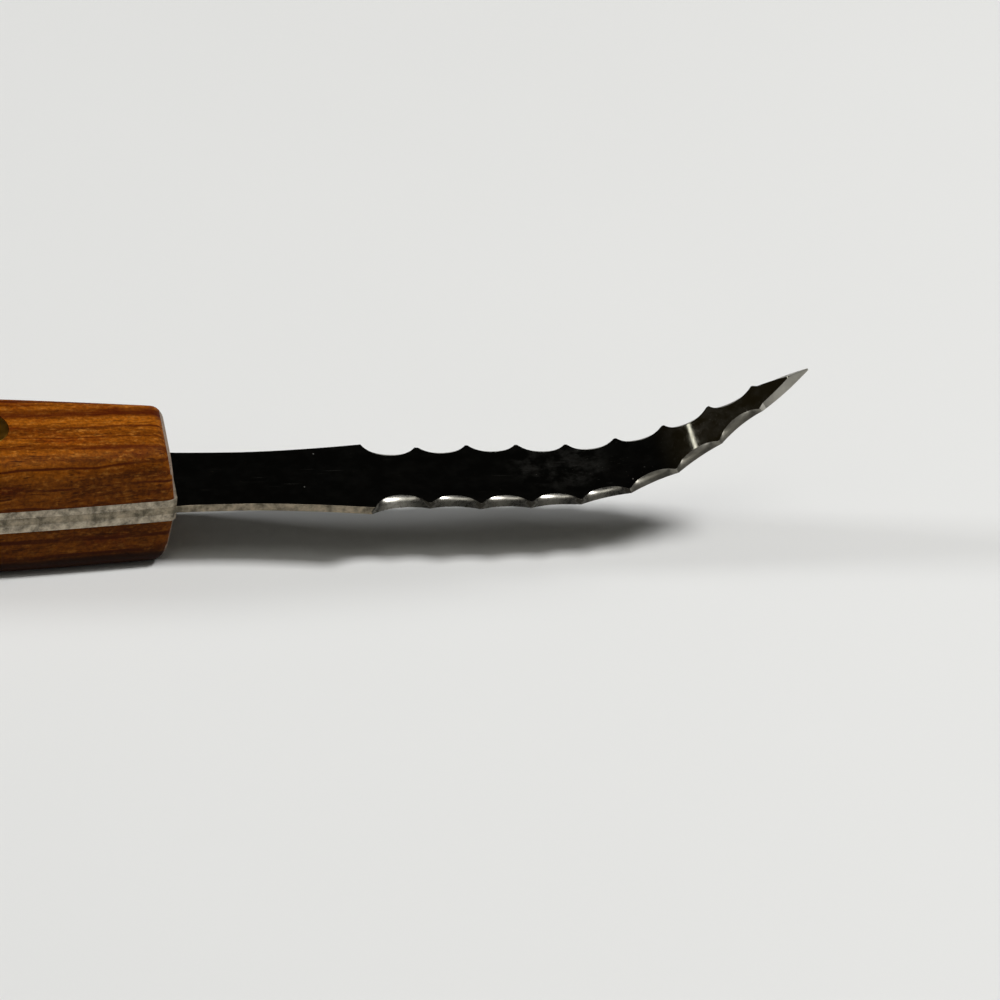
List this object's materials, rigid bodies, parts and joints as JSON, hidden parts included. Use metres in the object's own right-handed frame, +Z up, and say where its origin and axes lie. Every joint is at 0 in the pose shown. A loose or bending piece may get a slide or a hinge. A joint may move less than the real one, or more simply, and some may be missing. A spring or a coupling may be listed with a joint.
{
  "type": "grapefruit knife",
  "caption": "Grapefruit knife with a narrow upturned double-edged scalloped blade, full tang between metal liners, and wooden handle scales held by flush brass rivets.",
  "frame": {"origin": "on the surface the knife lies on, under the centre of its bounding box", "axes": "+X along the knife towards the tip, +Z up from the surface towards the hollow side of the bend, +Y across the blade"},
  "size_m": [0.1816, 0.0192, 0.0246],
  "materials": {
    "blade_steel": "polished stainless steel with fine scratches and ground facets",
    "liner_metal": "dull light grey, worn and lightly pitted",
    "handle_wood": "reddish brown hardwood with dark streaks along the handle, satin",
    "rivet_brass": "dull flush brass with a brighter rim"
  },
  "bodies": {
    "root": {"blade": "blade_steel", "upper_liner": "liner_metal", "lower_liner": "liner_metal", "upper_scale": "handle_wood", "lower_scale": "handle_wood", "rivet_1_socket": "rivet_brass", "rivet_1_stud": "rivet_brass", "rivet_2_socket": "rivet_brass", "rivet_2_stud": "rivet_brass", "rivet_3_socket": "rivet_brass", "rivet_3_stud": "rivet_brass"}
  },
  "joints": []
}
